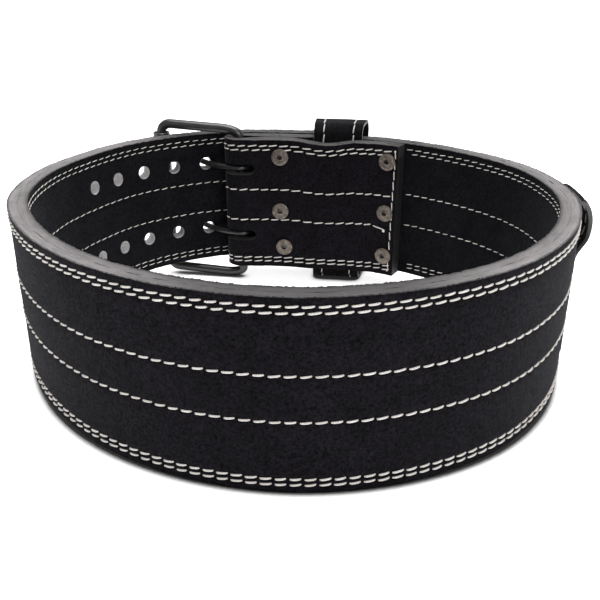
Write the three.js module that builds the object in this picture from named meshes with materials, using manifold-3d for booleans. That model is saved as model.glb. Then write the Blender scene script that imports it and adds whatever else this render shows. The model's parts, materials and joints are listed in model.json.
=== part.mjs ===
// A leather weightlifting belt, fastened: two glued plies make one strap that folds round the buckle's heel bar,
// runs once round the waist, passes through the buckle and ends as a tail under a keeper.
// Millimetres, +Z up. The origin is under the middle of the belt's box, on the surface that the belt rests on.
import * as THREE from "three";
import { mergeVertices } from "three/addons/utils/BufferGeometryUtils.js";
import Module from "manifold-3d";

const wasm = await Module();
wasm.setup();

// Gaps that stand for glue lines and touching faces
const glueGap = 0.3;
const pieceGap = 0.3;

// Strap
const strapHeight = 100;
const strapThickness = 11.4;
const loopRadius = 160;
const loopStep = 9.7;
const flapLength = 132;
const flapStep = 5.2;
const flapDip = 2.8;
const flapDipAlong = 68;
const flapDipReach = 27;
const foldClearance = 0.35;
const foldTaper = 24;
const tailReach = 112;
const tailTipRadius = 35;
const tailRunIn = 150;

// Outer face of the loop seen from above: reach is a share of loopRadius
const loopShape = [
  { bearing: 0, reach: 0.999 },
  { bearing: 22.5, reach: 1.019 },
  { bearing: 45, reach: 0.998 },
  { bearing: 67.5, reach: 0.994 },
  { bearing: 90, reach: 0.984 },
  { bearing: 101.25, reach: 1.02 },
  { bearing: 112.5, reach: 1.063 },
  { bearing: 135, reach: 1.12 },
  { bearing: 157.5, reach: 1.108 },
  { bearing: 180, reach: 1.049 },
  { bearing: 202.5, reach: 0.963 },
  { bearing: 225, reach: 0.911 },
  { bearing: 247.5, reach: 0.888 },
  { bearing: 270, reach: 0.888 },
  { bearing: 292.5, reach: 0.9 },
  { bearing: 315, reach: 0.928 },
  { bearing: 337.5, reach: 0.958 },
];

// Punched holes
const holeDiameter = 9.6;
const holePitch = 25.4;
const holesBeforeProng = 4;
const holesPastProng = 3;
const prongHoleOffset = 27;
const upperRow = 77.5;
const lowerRow = 25.5;
const cutterOverrun = 0.5;

// Buckle
const heelBarX = -46;
const wireDiameter = 7;
const barSpan = 61;
const frameOverTop = 6.7;
const frameUnderBottom = 9;
const frameLean = 3;
const frameCornerRadius = 7.5;
const frameHeelShoulder = 14;
const frameHeelDrop = 4.8;
const rollerDiameter = 12.5;
const rollerWall = 1.5;
const rollerEndGap = 7;
const prongDiameter = 4.2;
const wireStepsPerPoint = 1.6;
const prongOverRoller = 8;
const prongHoleReach = 4;
const prongFaceClearance = 3;
const prongTipFall = 0.5;
const eyeTurn = 1.5 * Math.PI;
const slotHeight = 8;
const slotReach = 12;

// Rivets
const rivetShankDiameter = 4.6;
const rivetHeadDiameter = 12;
const rivetHeadThickness = 1;
const rivetHeadRim = 0.4;
const rivetHeadFlat = 0.6;
const burrDiameter = 12.6;
const burrThickness = 1.3;
const burrEyeDiameter = 3;
const burrEyeDepth = 2;
const rivets = [
  { name: "rivet_1", along: 33.5, height: 0.875 },
  { name: "rivet_2", along: 33.5, height: 0.455 },
  { name: "rivet_3", along: 36.5, height: 0.165 },
  { name: "rivet_4", along: 122.5, height: 0.88 },
  { name: "rivet_5", along: 122.5, height: 0.49 },
  { name: "rivet_6", along: 122.5, height: 0.15 },
];

// Keepers
const keeperWidth = 38;
const keeperThickness = 2.6;
const keeperRamp = 18;
const keeperPress = 0.7;
const backKeeperAlong = 76.8;
const backKeeperRise = 10.5;
const backKeeperSag = 13.5;
const backKeeperSlack = 1;
const backKeeperRound = 8;
const sideKeeperWidth = 36;
const sideKeeperBearing = 2.7;
const sideKeeperBulge = 7.6;
const sideKeeperTop = 0.986;
const sideKeeperEndOut = 0.95;

// Course of the empty keeper's middle line: out is a share of its bulge, height of the strap's
const sideKeeperCourse = [
  { out: 0, height: 0.04 },
  { out: 0, height: 0.32 },
  { out: 0, height: 0.6 },
  { out: 0.02, height: 0.69 },
  { out: 0.5, height: 0.75 },
  { out: 0.9, height: 0.8 },
  { out: 1, height: 0.87 },
  { out: 0.95, height: 0.93 },
  { out: 0.66, height: 0.968 },
  { out: 0.3, height: 0.982 },
];

// Sizes that follow from those above
const plyGapHalf = glueGap / 2;
const foldRadius = strapThickness + glueGap / 2;
const foldThickness = foldRadius - wireDiameter / 2 - foldClearance;
const tailLift = strapThickness + rivetHeadThickness + pieceGap * 3;
const flapFace = 2 * foldRadius;
const keeperSwell = keeperThickness + 2 * pieceGap - glueGap - 2 * keeperPress;

const smooth = (from, to, at) => THREE.MathUtils.smoothstep(at, from, to);
const mix = THREE.MathUtils.lerp;

// The loop's outer face as a closed curve, run clockwise seen from above
const loopPoints = loopShape
  .map(({ bearing, reach }) => {
    const angle = THREE.MathUtils.degToRad(bearing);
    return new THREE.Vector3(Math.cos(angle), Math.sin(angle), 0).multiplyScalar(reach * loopRadius);
  })
  .reverse();
const loopCurve = new THREE.CatmullRomCurve3(loopPoints, true, "centripetal");
const loopSamples = 1440;
loopCurve.arcLengthDivisions = loopSamples;
const loopLength = loopCurve.getLength();
const loopTrack = loopCurve.getSpacedPoints(loopSamples);

// Distance along the loop of the first place that a test picks
function findAlong(test) {
  const index = loopTrack.findIndex((point, i) => i > 0 && test(loopTrack[i - 1], point));
  return (index / loopSamples) * loopLength;
}

const heelStart = findAlong((before, after) => after.y > 0 && before.x < heelBarX && after.x >= heelBarX);

// Point and outward direction on the outer face, so far along from the heel bar
function loopAt(along) {
  const share = (((along + heelStart) / loopLength) % 1 + 1) % 1;
  const point = loopCurve.getPointAt(share);
  const tangent = loopCurve.getTangentAt(share);
  return { point, tangent, outward: new THREE.Vector3(-tangent.y, tangent.x, 0) };
}

// Place on the strap: so far along, so far out of the outer face, so high
function placeAt(along, out, height) {
  const { point, outward } = loopAt(along);
  return point.clone().addScaledVector(outward, out).setZ(height);
}

// How far the tail stands out of the loop's face
const liftAt = (along) => tailLift * smooth(loopLength - tailRunIn, loopLength, along);

// 1 where the back keeper passes between flap and strap, 0 away from it
function keeperShare(along) {
  const half = keeperWidth / 2 + pieceGap;
  const away = Math.abs(along - backKeeperAlong) - half;
  return 1 - smooth(0, keeperRamp, away);
}

// Leather is skived towards the fold and pressed in under the keeper
function thicknessAt(along) {
  const skived = mix(foldThickness, strapThickness, smooth(0, foldTaper, along));
  return skived - keeperPress * keeperShare(along);
}

// The strap from the flap's end to the tail's tip: face, back, low and high edge at each station
function strapStations() {
  const stations = [];
  const flapSteps = Math.round(flapLength / flapStep);
  for (let i = 0; i <= flapSteps; i++) {
    const along = flapLength * (1 - i / flapSteps);
    const face = -flapFace - keeperSwell * keeperShare(along);
    stations.push({
      face: placeAt(along, face, 0),
      back: placeAt(along, face + thicknessAt(along), 0),
      low: 0,
      high: strapHeight - flapDip * (1 - smooth(0, flapDipReach, Math.abs(along - flapDipAlong))),
    });
  }
  const { point, tangent, outward } = loopAt(0);
  const middle = point.clone().addScaledVector(outward, -foldRadius);
  const foldSteps = 10;
  for (let i = 1; i < foldSteps; i++) {
    const turn = Math.PI * (1 - i / foldSteps);
    const away = outward.clone().multiplyScalar(Math.cos(turn)).addScaledVector(tangent, -Math.sin(turn));
    stations.push({
      face: middle.clone().addScaledVector(away, foldRadius),
      back: middle.clone().addScaledVector(away, foldRadius - foldThickness),
      low: 0,
      high: strapHeight,
    });
  }
  const underFlap = Math.round(flapLength / flapStep);
  const loopSteps = Math.round((loopLength - flapLength) / loopStep);
  const tailSteps = Math.round((tailReach - tailTipRadius) / loopStep);
  const tipSteps = 6;
  const stops = [];
  for (let i = 0; i <= underFlap; i++) stops.push((flapLength * i) / underFlap);
  for (let i = 1; i <= loopSteps; i++) stops.push(mix(flapLength, loopLength, i / loopSteps));
  for (let i = 1; i <= tailSteps; i++) {
    stops.push(loopLength + ((tailReach - tailTipRadius) * i) / tailSteps);
  }
  const tipStart = loopLength + tailReach - tailTipRadius;
  for (let i = 1; i <= tipSteps; i++) {
    stops.push(tipStart + tailTipRadius * Math.sin((Math.PI / 2) * (i / tipSteps)));
  }
  for (const along of stops) {
    const past = Math.max(0, along - tipStart);
    const trim = tailTipRadius - Math.sqrt(Math.max(0, tailTipRadius ** 2 - past ** 2));
    const face = liftAt(along);
    stations.push({
      face: placeAt(along, face, 0),
      back: placeAt(along, face - thicknessAt(along), 0),
      low: trim,
      high: strapHeight - trim,
    });
  }
  return stations;
}

// Closed mesh from rows of point pairs: row r, column c holds a face point and a back point
function wallGeometry(rows, closed) {
  const columns = rows[0].length;
  const positions = [];
  for (const row of rows) for (const { face, back } of row) positions.push(...face, ...back);
  const index = [];
  const at = (r, c, side) => 2 * (r * columns + (c % columns)) + side;
  const quad = (a, b, c, d) => index.push(a, b, c, a, c, d);
  const last = rows.length - 1;
  const spans = closed ? columns : columns - 1;
  for (let c = 0; c < spans; c++) {
    for (let r = 0; r < last; r++) {
      quad(at(r, c, 0), at(r, c + 1, 0), at(r + 1, c + 1, 0), at(r + 1, c, 0));
      quad(at(r, c, 1), at(r + 1, c, 1), at(r + 1, c + 1, 1), at(r, c + 1, 1));
    }
    quad(at(0, c, 0), at(0, c, 1), at(0, c + 1, 1), at(0, c + 1, 0));
    quad(at(last, c, 0), at(last, c + 1, 0), at(last, c + 1, 1), at(last, c, 1));
  }
  if (!closed) {
    for (let r = 0; r < last; r++) {
      quad(at(r, 0, 0), at(r + 1, 0, 0), at(r + 1, 0, 1), at(r, 0, 1));
      quad(at(r, spans, 0), at(r, spans, 1), at(r + 1, spans, 1), at(r + 1, spans, 0));
    }
  }
  return new THREE.BufferGeometry()
    .setAttribute("position", new THREE.Float32BufferAttribute(positions, 3))
    .setIndex(index);
}

function toSolid(geometry) {
  const bare = new THREE.BufferGeometry().setAttribute("position", geometry.getAttribute("position"));
  if (geometry.index) bare.setIndex(geometry.index);
  const merged = mergeVertices(bare, 1e-4);
  return new wasm.Manifold(
    new wasm.Mesh({
      numProp: 3,
      vertProperties: new Float32Array(merged.attributes.position.array),
      triVerts: new Uint32Array(merged.index.array),
    }),
  );
}

function toGeometry(solid) {
  const mesh = solid.getMesh();
  return new THREE.BufferGeometry()
    .setAttribute("position", new THREE.BufferAttribute(mesh.vertProperties, 3))
    .setIndex(new THREE.BufferAttribute(mesh.triVerts, 1));
}

// Round cutter across the strap, turned so that its axis follows the outward direction
function crossCutter(along, out, height, radius, length) {
  const { outward } = loopAt(along);
  const cutter = new THREE.CylinderGeometry(radius, radius, length, 12);
  const turn = new THREE.Quaternion().setFromUnitVectors(new THREE.Vector3(0, 1, 0), outward);
  const centre = placeAt(along, out, height);
  return cutter.applyMatrix4(new THREE.Matrix4().compose(centre, turn, new THREE.Vector3(1, 1, 1)));
}

// The slot that lets a prong swing: a bar with round ends, cut right across the fold
function slotCutter(height) {
  const { point, tangent, outward } = loopAt(0);
  const radius = slotHeight / 2;
  const outline = new THREE.Shape();
  const near = slotReach - radius;
  const far = -2 * foldRadius;
  outline.moveTo(far, -radius);
  outline.lineTo(near, -radius);
  outline.absarc(near, 0, radius, -Math.PI / 2, Math.PI / 2, false);
  outline.lineTo(far, radius);
  outline.closePath();
  const depth = 2 * (foldRadius + cutterOverrun);
  const cutter = new THREE.ExtrudeGeometry(outline, { depth, bevelEnabled: false, curveSegments: 5 });
  cutter.translate(0, 0, -depth / 2);
  const frame = new THREE.Matrix4().makeBasis(tangent, new THREE.Vector3(0, 0, 1), outward.clone().negate());
  const centre = point.clone().addScaledVector(outward, -foldRadius).setZ(height);
  return cutter.applyMatrix4(frame.setPosition(centre));
}

// Gap across flap and strap that a rivet bridges
const flapFaceAt = (along) => flapFace + keeperSwell * keeperShare(along);

function prongHoles() {
  const cutters = [];
  for (let i = -holesBeforeProng; i <= holesPastProng; i++) {
    const along = loopLength - prongHoleOffset + i * holePitch;
    const middle = liftAt(along) - strapThickness / 2;
    for (const height of [upperRow, lowerRow]) {
      cutters.push(crossCutter(along, middle, height, holeDiameter / 2, strapThickness + 2 * cutterOverrun));
    }
  }
  return cutters;
}

function rivetHoles() {
  const radius = rivetShankDiameter / 2 + pieceGap;
  return rivets.map(({ along, height }) => {
    const span = flapFaceAt(along);
    return crossCutter(along, -span / 2, height * strapHeight, radius, span + 2 * cutterOverrun);
  });
}

// One ply: the strap's stations between two shares of its thickness, with every hole and slot cut
function strapPly(fromShare, toShare) {
  const low = [];
  const high = [];
  for (const station of strapStations()) {
    const across = station.back.clone().sub(station.face);
    const wall = across.length();
    across.normalize();
    const start = fromShare > 0 ? wall * fromShare + plyGapHalf : 0;
    const end = toShare < 1 ? wall * toShare - plyGapHalf : wall;
    const face = station.face.clone().addScaledVector(across, start);
    const back = station.face.clone().addScaledVector(across, end);
    low.push({ face: face.clone().setZ(station.low), back: back.clone().setZ(station.low) });
    high.push({ face: face.clone().setZ(station.high), back: back.clone().setZ(station.high) });
  }
  let ply = toSolid(wallGeometry([high, low], false));
  for (const cutter of [...prongHoles(), ...rivetHoles(), slotCutter(upperRow), slotCutter(lowerRow)]) {
    ply = ply.subtract(toSolid(cutter));
  }
  return toGeometry(ply);
}

// Centres of the two upright bars, seen from above, and the directions between them
const heelBar = placeAt(0, -foldRadius, 0);
const rollerBar = (() => {
  const out = rollerDiameter / 2 + pieceGap;
  let near = loopLength - 2 * barSpan;
  let far = loopLength - barSpan / 2;
  for (let i = 0; i < 40; i++) {
    const along = (near + far) / 2;
    if (placeAt(along, liftAt(along) + out, 0).distanceTo(heelBar) > barSpan) near = along;
    else far = along;
  }
  return placeAt(near, liftAt(near) + out, 0);
})();
const spanDirection = rollerBar.clone().sub(heelBar).normalize();
const outDirection = new THREE.Vector3(spanDirection.y, -spanDirection.x, 0);

// Round wire along a list of points; a closed one joins its ends
function wireGeometry(points, diameter, sides, closed) {
  const path = new THREE.CatmullRomCurve3(points, closed, "centripetal");
  const section = new THREE.Shape();
  section.absarc(0, 0, diameter / 2, 0, 2 * Math.PI, false);
  return new THREE.ExtrudeGeometry(section, {
    extrudePath: path,
    steps: Math.round(points.length * wireStepsPerPoint),
    curveSegments: sides,
    bevelEnabled: false,
  });
}

// Closed tube from rings of points whose last ring joins the first
function loopTube(rings) {
  const sides = rings[0].length;
  const positions = rings.flat().flatMap((point) => [...point]);
  const index = [];
  rings.forEach((_, r) => {
    const next = (r + 1) % rings.length;
    for (let s = 0; s < sides; s++) {
      const side = (s + 1) % sides;
      const a = r * sides + s;
      const b = r * sides + side;
      const c = next * sides + side;
      const d = next * sides + s;
      index.push(a, c, b, a, d, c);
    }
  });
  return new THREE.BufferGeometry()
    .setAttribute("position", new THREE.Float32BufferAttribute(positions, 3))
    .setIndex(index);
}

// Ring of the frame: a rectangle with round corners and sloping shoulders at the heel side, which hangs lower
function buckleFrame() {
  const top = strapHeight + frameOverTop;
  const bottom = -frameUnderBottom;
  const corners = [
    { u: barSpan, z: bottom, from: -0.5 },
    { u: barSpan, z: top, from: 0 },
    { u: 0, z: top, from: 0.5 },
    { u: 0, z: bottom, from: 1 },
  ];
  const ring = [];
  const sides = 10;
  const arcSteps = 6;
  for (const { u, z, from } of corners) {
    const turnU = u > 0 ? frameCornerRadius : frameHeelShoulder;
    const turnZ = u > 0 ? frameCornerRadius : frameHeelDrop;
    const centreU = u > 0 ? u - turnU : turnU;
    const centreZ = z > 0 ? z - turnZ : z + turnZ;
    for (let i = 0; i <= arcSteps; i++) {
      const angle = Math.PI * (from + (0.5 * i) / arcSteps);
      const reach = centreU + turnU * Math.cos(angle);
      const lean = frameLean * (reach / barSpan - 0.5);
      const level = centreZ + turnZ * Math.sin(angle) + lean;
      ring.push({ reach, level });
    }
  }
  const rows = ring.map(({ reach, level }, i) => {
    const before = ring[(i + ring.length - 1) % ring.length];
    const after = ring[(i + 1) % ring.length];
    const along = new THREE.Vector2(after.reach - before.reach, after.level - before.level).normalize();
    const row = [];
    for (let s = 0; s < sides; s++) {
      const angle = (2 * Math.PI * s) / sides;
      const inPlane = (Math.cos(angle) * wireDiameter) / 2;
      const across = (Math.sin(angle) * wireDiameter) / 2;
      row.push(
        heelBar
          .clone()
          .addScaledVector(spanDirection, reach + along.y * inPlane)
          .addScaledVector(outDirection, across)
          .setZ(level - along.x * inPlane),
      );
    }
    return row;
  });
  return loopTube(rows);
}

// Tube round the outer bar, between the frame's two long bars
function buckleRoller() {
  const outer = rollerDiameter / 2;
  const inner = outer - rollerWall;
  const low = -frameUnderBottom + frameLean / 2 + rollerEndGap;
  const high = strapHeight + frameOverTop + frameLean / 2 - rollerEndGap;
  const profile = [
    new THREE.Vector2(inner, low),
    new THREE.Vector2(outer, low),
    new THREE.Vector2(outer, high),
    new THREE.Vector2(inner, high),
    new THREE.Vector2(inner, low),
  ];
  return new THREE.LatheGeometry(profile, 16).rotateX(Math.PI / 2).translate(rollerBar.x, rollerBar.y, 0);
}

// Prong: an eye round the heel bar, then a wire along the body side, out through its hole and over the roller
function prong(height) {
  const wire = prongDiameter / 2;
  const eye = wireDiameter / 2 + foldClearance + wire;
  const holeAlong = loopLength - prongHoleOffset;
  const lift = liftAt(holeAlong);
  const local = (u, v) =>
    heelBar.clone().addScaledVector(spanDirection, u).addScaledVector(outDirection, v).setZ(height);
  const points = [];
  const eyeSteps = 9;
  for (let i = 0; i <= eyeSteps; i++) {
    const angle = -2 * Math.PI + (eyeTurn * i) / eyeSteps;
    points.push(local(eye * Math.cos(angle), eye * Math.sin(angle)));
  }
  const outerContact = rollerDiameter / 2 + pieceGap + wire;
  points.push(placeAt(holeAlong + prongHoleReach, lift - strapThickness - prongFaceClearance, height));
  points.push(placeAt(holeAlong, lift - strapThickness / 2, height));
  points.push(placeAt(holeAlong - prongHoleReach, lift + prongFaceClearance, height));
  points.push(local(barSpan, outerContact));
  points.push(local(barSpan + prongOverRoller, outerContact - prongTipFall));
  return wireGeometry(points, prongDiameter, 5, false);
}

// Rivet along the outward direction: head under the tail, burr with an eye on the body side
function rivet({ along, height }) {
  const span = flapFaceAt(along);
  const shank = rivetShankDiameter / 2;
  const head = rivetHeadDiameter / 2;
  const burr = burrDiameter / 2;
  const eye = burrEyeDiameter / 2;
  const burrTop = -span - pieceGap - burrThickness;
  const profile = [
    new THREE.Vector2(0, burrTop + burrEyeDepth),
    new THREE.Vector2(eye, burrTop + burrEyeDepth),
    new THREE.Vector2(eye, burrTop),
    new THREE.Vector2(burr, burrTop),
    new THREE.Vector2(burr, -span - pieceGap),
    new THREE.Vector2(shank, -span - pieceGap),
    new THREE.Vector2(shank, pieceGap),
    new THREE.Vector2(head, pieceGap),
    new THREE.Vector2(head, pieceGap + rivetHeadThickness * rivetHeadRim),
    new THREE.Vector2(head * rivetHeadFlat, pieceGap + rivetHeadThickness),
    new THREE.Vector2(0, pieceGap + rivetHeadThickness),
  ];
  const { outward } = loopAt(along);
  const turn = new THREE.Quaternion().setFromUnitVectors(new THREE.Vector3(0, 1, 0), outward);
  const centre = placeAt(along, 0, height * strapHeight);
  return new THREE.LatheGeometry(profile, 12).applyMatrix4(
    new THREE.Matrix4().compose(centre, turn, new THREE.Vector3(1, 1, 1)),
  );
}

// Leather band: a course in out and height, given thickness, then repeated along the strap
function keeperBand(course, centreAlong, width, closed) {
  const steps = 6;
  const count = course.length;
  const sides = course.map(({ out, height }, i) => {
    const before = course[closed ? (i + count - 1) % count : Math.max(0, i - 1)];
    const after = course[closed ? (i + 1) % count : Math.min(count - 1, i + 1)];
    const along = new THREE.Vector2(after.out - before.out, after.height - before.height).normalize();
    return { out, height, acrossOut: along.y, acrossHeight: -along.x };
  });
  const rows = [];
  for (let s = 0; s <= steps; s++) {
    const along = centreAlong + width * (s / steps - 0.5);
    rows.push(
      sides.map(({ out, height, acrossOut, acrossHeight }) => {
        const half = keeperThickness / 2;
        return {
          face: placeAt(along, out + half * acrossOut, height + half * acrossHeight),
          back: placeAt(along, out - half * acrossOut, height - half * acrossHeight),
        };
      }),
    );
  }
  return wallGeometry(rows, closed);
}

// Loop that goes between flap and strap and over the tail, slack above and hanging below
function backKeeper() {
  const half = keeperThickness / 2;
  const inside = -(strapThickness - keeperPress) - pieceGap - half;
  const outside = tailLift + pieceGap + backKeeperSlack + half;
  const top = strapHeight + backKeeperRise - half;
  const bottom = -backKeeperSag + half;
  const round = backKeeperRound;
  const corners = [
    { out: outside - round, height: bottom + round, from: -0.5 },
    { out: outside - round, height: top - round, from: 0 },
    { out: inside + round, height: top - round, from: 0.5 },
    { out: inside + round, height: bottom + round, from: 1 },
  ];
  const course = [];
  const arcSteps = 4;
  for (const { out, height, from } of corners) {
    for (let i = 0; i <= arcSteps; i++) {
      const angle = Math.PI * (from + (0.5 * i) / arcSteps);
      course.push({ out: out + round * Math.cos(angle), height: height + round * Math.sin(angle) });
    }
  }
  return keeperBand(course, backKeeperAlong, keeperWidth, true);
}

// Empty loop on the outer face: flat below, arched near the top
function sideKeeper() {
  const flat = pieceGap + keeperThickness / 2;
  const knots = sideKeeperCourse.map(
    ({ out, height }) => new THREE.Vector2(flat + out * sideKeeperBulge, height * strapHeight),
  );
  knots.push(new THREE.Vector2(sideKeeperEndOut, strapHeight * sideKeeperTop));
  const course = new THREE.SplineCurve(knots).getPoints(22).map(({ x, y }) => ({ out: x, height: y }));
  const bearing = THREE.MathUtils.degToRad(sideKeeperBearing);
  const away = (point) => Math.atan2(point.y, point.x) - bearing;
  const centre = findAlong((before, after) => after.x > 0 && away(before) > 0 && away(after) <= 0);
  return keeperBand(course, centre - heelStart, sideKeeperWidth, false);
}

// Finishes
const suede = new THREE.MeshStandardMaterial({ color: 0x1b1a1d, roughness: 0.95, metalness: 0 });
const suedeInner = new THREE.MeshStandardMaterial({ color: 0x141416, roughness: 0.95, metalness: 0 });
const blackWire = new THREE.MeshStandardMaterial({ color: 0x1d1d20, roughness: 0.42, metalness: 0.6 });
const brass = new THREE.MeshStandardMaterial({ color: 0x8b7863, roughness: 0.5, metalness: 0.8 });

const belt = new THREE.Group();
function addPiece(name, geometry, material) {
  const piece = new THREE.Mesh(geometry, material);
  piece.name = name;
  belt.add(piece);
  return piece;
}

const outerPly = addPiece("strap_outer_ply", strapPly(0, 0.5), suede);
addPiece("strap_inner_ply", strapPly(0.5, 1), suedeInner);
const frame = addPiece("buckle_frame", buckleFrame(), blackWire);
addPiece("buckle_roller", buckleRoller(), blackWire);
addPiece("prong_upper", prong(upperRow), blackWire);
addPiece("prong_lower", prong(lowerRow), blackWire);
const loopedKeeper = addPiece("keeper_back", backKeeper(), suede);
addPiece("keeper_side", sideKeeper(), suede);
for (const row of rivets) addPiece(row.name, rivet(row), brass);

// Lowest level of some pieces once the belt is tipped by an angle about X
function lowestLevel(pieces, tilt) {
  let lowest = Infinity;
  for (const { geometry } of pieces) {
    const { array } = geometry.attributes.position;
    for (let i = 0; i < array.length; i += 3) {
      lowest = Math.min(lowest, array[i + 1] * Math.sin(tilt) + array[i + 2] * Math.cos(tilt));
    }
  }
  return lowest;
}

// The frame and the keeper reach below the strap at the back, so the belt rests tipped forward on its front edge
let restTilt = 0;
let steeper = 0.2;
for (let i = 0; i < 30; i++) {
  const tilt = (restTilt + steeper) / 2;
  if (lowestLevel([frame, loopedKeeper], tilt) < lowestLevel([outerPly], tilt)) restTilt = tilt;
  else steeper = tilt;
}
belt.rotation.x = restTilt;
belt.updateMatrixWorld(true);
const box = new THREE.Box3().setFromObject(belt, true);
const middle = box.getCenter(new THREE.Vector3());
belt.position.set(-middle.x, -middle.y, -box.min.z);

export default belt;
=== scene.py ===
import bisect
import json
import math
import random

import bmesh
import bpy
from mathutils import Matrix, Vector, noise


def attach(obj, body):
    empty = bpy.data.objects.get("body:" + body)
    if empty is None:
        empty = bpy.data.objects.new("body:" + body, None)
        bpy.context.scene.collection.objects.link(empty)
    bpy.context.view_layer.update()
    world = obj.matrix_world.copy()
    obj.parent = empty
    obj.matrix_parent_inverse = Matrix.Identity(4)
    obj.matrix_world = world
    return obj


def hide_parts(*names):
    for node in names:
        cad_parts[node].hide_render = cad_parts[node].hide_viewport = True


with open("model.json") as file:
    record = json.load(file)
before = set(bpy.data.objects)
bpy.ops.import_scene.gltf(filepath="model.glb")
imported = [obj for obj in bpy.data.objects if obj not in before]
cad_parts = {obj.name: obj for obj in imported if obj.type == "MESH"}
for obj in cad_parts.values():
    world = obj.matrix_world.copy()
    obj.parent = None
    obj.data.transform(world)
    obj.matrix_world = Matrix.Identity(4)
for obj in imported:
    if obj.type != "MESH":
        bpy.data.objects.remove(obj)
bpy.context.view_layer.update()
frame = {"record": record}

# The finish of a fastened suede weightlifting belt. Shapes are made flat or in the belt's own frame, in
# millimetres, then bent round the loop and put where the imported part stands.
random.seed(7)
MM = 0.001

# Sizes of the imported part
GLUE_GAP = 0.3
PIECE_GAP = 0.3
STRAP_HEIGHT = 100.0
STRAP_THICKNESS = 11.4
LOOP_RADIUS = 160.0
FLAP_LENGTH = 132.0
FLAP_DIP = 2.8
FLAP_DIP_ALONG = 68.0
FLAP_DIP_REACH = 27.0
TAIL_REACH = 112.0
TAIL_TIP_RADIUS = 35.0
TAIL_RUN_IN = 150.0
HOLE_DIAMETER = 9.6
HOLE_PITCH = 25.4
HOLES_BEFORE_PRONG = 4
HOLES_PAST_PRONG = 3
PRONG_HOLE_OFFSET = 27.0
UPPER_ROW = 77.5
LOWER_ROW = 25.5
HEEL_BAR_X = -46.0
WIRE_DIAMETER = 7.0
BAR_SPAN = 61.0
FRAME_OVER_TOP = 6.7
FRAME_UNDER_BOTTOM = 9.0
FRAME_LEAN = 3.0
FRAME_CORNER_RADIUS = 7.5
FRAME_HEEL_SHOULDER = 14.0
FRAME_HEEL_DROP = 4.8
ROLLER_DIAMETER = 12.5
ROLLER_WALL = 1.5
ROLLER_END_GAP = 7.0
PRONG_DIAMETER = 4.2
PRONG_OVER_ROLLER = 8.0
EYE_TURN = 1.5 * math.pi
SLOT_HEIGHT = 8.0
SLOT_REACH = 12.0
FOLD_CLEARANCE = 0.35
FOLD_TAPER = 24.0
RIVET_SHANK_DIAMETER = 4.6
RIVET_HEAD_DIAMETER = 12.0
RIVET_HEAD_THICKNESS = 1.0
BURR_DIAMETER = 12.6
BURR_THICKNESS = 1.3
BURR_EYE_DIAMETER = 3.0
BURR_EYE_DEPTH = 2.0
KEEPER_WIDTH = 38.0
KEEPER_THICKNESS = 2.6
KEEPER_RAMP = 18.0
KEEPER_PRESS = 0.7
BACK_KEEPER_ALONG = 76.8
BACK_KEEPER_RISE = 10.5
BACK_KEEPER_SAG = 13.5
BACK_KEEPER_SLACK = 1.0
BACK_KEEPER_ROUND = 8.0
SIDE_KEEPER_WIDTH = 36.0
SIDE_KEEPER_BEARING = 2.7
SIDE_KEEPER_TOP = 0.986
SIDE_KEEPER_END_OUT = 0.95

# Outer face of the loop seen from above: reach is a share of the loop's radius
LOOP_SHAPE = [
    {"bearing": 0, "reach": 0.999},
    {"bearing": 22.5, "reach": 1.019},
    {"bearing": 45, "reach": 0.998},
    {"bearing": 67.5, "reach": 0.994},
    {"bearing": 90, "reach": 0.984},
    {"bearing": 101.25, "reach": 1.02},
    {"bearing": 112.5, "reach": 1.063},
    {"bearing": 135, "reach": 1.12},
    {"bearing": 157.5, "reach": 1.108},
    {"bearing": 180, "reach": 1.049},
    {"bearing": 202.5, "reach": 0.963},
    {"bearing": 225, "reach": 0.911},
    {"bearing": 247.5, "reach": 0.888},
    {"bearing": 270, "reach": 0.888},
    {"bearing": 292.5, "reach": 0.9},
    {"bearing": 315, "reach": 0.928},
    {"bearing": 337.5, "reach": 0.958},
]
RIVETS = [
    {"name": "rivet_1", "along": 33.5, "height": 0.875},
    {"name": "rivet_2", "along": 33.5, "height": 0.455},
    {"name": "rivet_3", "along": 36.5, "height": 0.165},
    {"name": "rivet_4", "along": 122.5, "height": 0.88},
    {"name": "rivet_5", "along": 122.5, "height": 0.49},
    {"name": "rivet_6", "along": 122.5, "height": 0.15},
]
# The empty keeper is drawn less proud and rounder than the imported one
SIDE_KEEPER_BULGE = 6.4
# Its middle line: out is a share of the bulge, height of the strap's
SIDE_KEEPER_COURSE = [
    {"out": 0, "height": 0.04},
    {"out": 0, "height": 0.32},
    {"out": 0, "height": 0.56},
    {"out": 0.03, "height": 0.66},
    {"out": 0.45, "height": 0.72},
    {"out": 0.85, "height": 0.77},
    {"out": 1, "height": 0.83},
    {"out": 0.97, "height": 0.89},
    {"out": 0.72, "height": 0.945},
    {"out": 0.34, "height": 0.98},
]

# Sizes that follow from those above
FOLD_RADIUS = STRAP_THICKNESS + GLUE_GAP / 2
FOLD_THICKNESS = FOLD_RADIUS - WIRE_DIAMETER / 2 - FOLD_CLEARANCE
FOLD_ARC = math.pi * FOLD_RADIUS
TAIL_LIFT = STRAP_THICKNESS + RIVET_HEAD_THICKNESS + PIECE_GAP * 3
FLAP_FACE = 2 * FOLD_RADIUS
KEEPER_SWELL = KEEPER_THICKNESS + 2 * PIECE_GAP - GLUE_GAP - 2 * KEEPER_PRESS
FLAP_END = -(FLAP_LENGTH + FOLD_ARC)

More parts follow.
